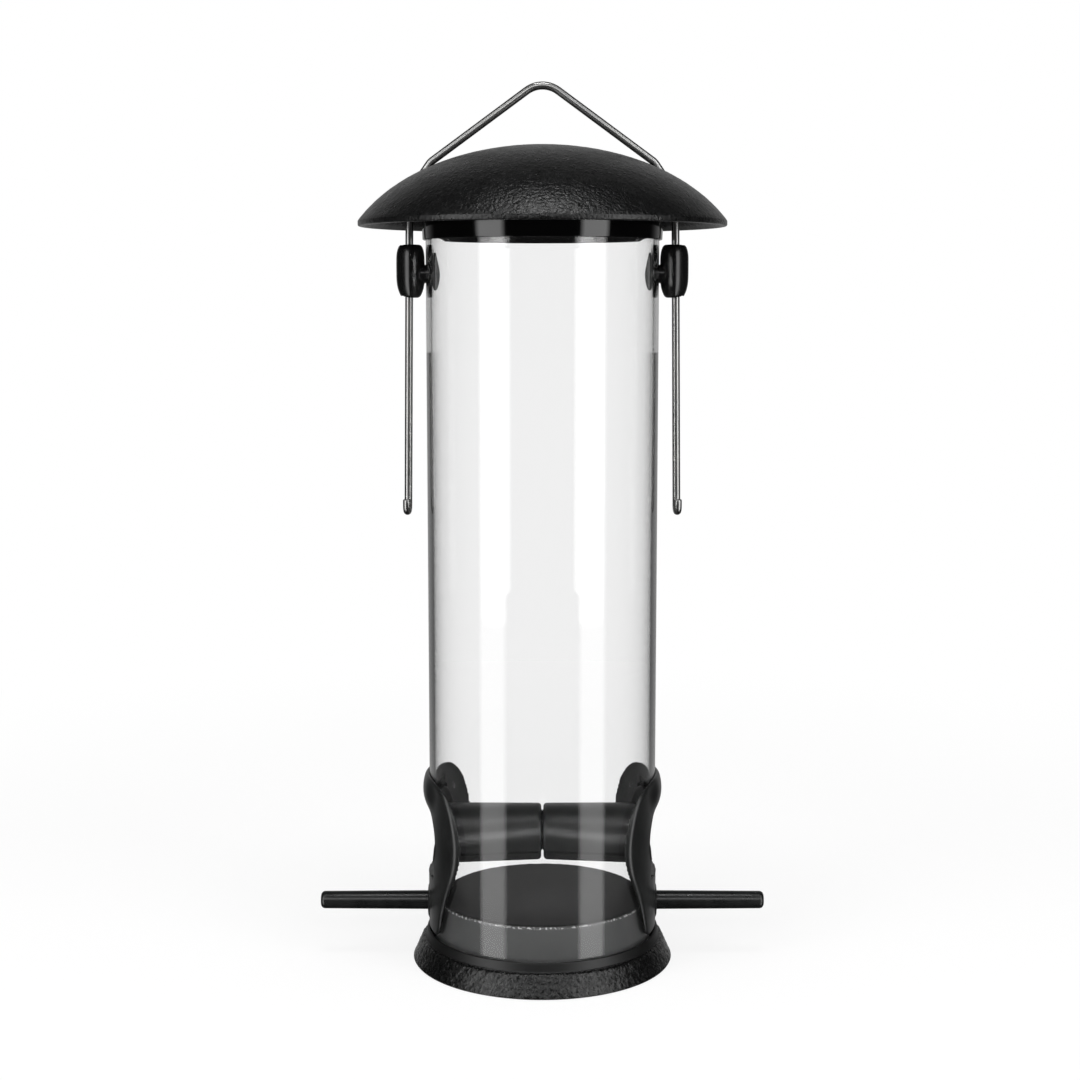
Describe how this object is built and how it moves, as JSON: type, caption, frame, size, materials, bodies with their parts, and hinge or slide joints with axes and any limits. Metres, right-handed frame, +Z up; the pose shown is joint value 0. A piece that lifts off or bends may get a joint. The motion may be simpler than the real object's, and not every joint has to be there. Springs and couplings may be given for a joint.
{
  "type": "hanging tube seed feeder",
  "caption": "Clear tube seed feeder with cast domed lid, cast base, hooded feed ports with perches and a sliding wire bail.",
  "frame": {"origin": "centre of the base's underside, on the surface that the feeder can stand on", "axes": "+Z up along the tube, towards the hanging loop; +X towards the right-hand port and perch; -Y towards the viewer"},
  "size_m": [0.1288, 0.1024, 0.2491],
  "materials": {
    "clear_tube": "clear moulded polycarbonate, polished",
    "cast_black": "black powder coat over a hammered casting, semi-gloss",
    "gloss_black": "polished black plastic",
    "satin_black": "satin black moulded plastic",
    "perch_black": "smooth satin black powder coat",
    "stainless_wire": "bright drawn stainless steel",
    "zinc_screw": "zinc plated"
  },
  "bodies": {
    "feeder": {"tube": "clear_tube", "base_casting": "cast_black", "wire_guide_right": "satin_black", "wire_guide_left": "satin_black", "guide_retainer_right": "satin_black", "guide_retainer_left": "satin_black", "feed_port_right": "satin_black", "feed_port_left": "satin_black", "perch_right": "perch_black", "perch_left": "perch_black"},
    "bail": {"wire_bail": "stainless_wire"},
    "lid": {"lid_dome": "cast_black", "lid_cap": "gloss_black", "lid_screws": "zinc_screw"}
  },
  "joints": [
    {"name": "bail_slide", "type": "slide", "parent": "feeder", "child": "bail", "axis": [0, 0, 1], "range_m": [0, 0.055]},
    {"name": "lid_slide", "type": "slide", "parent": "feeder", "child": "lid", "axis": [0, 0, 1], "range_m": [0, 0.044]}
  ],
  "couplings": [
    {"joint": "lid_slide", "follows": "bail_slide", "ratio": 0.8}
  ]
}
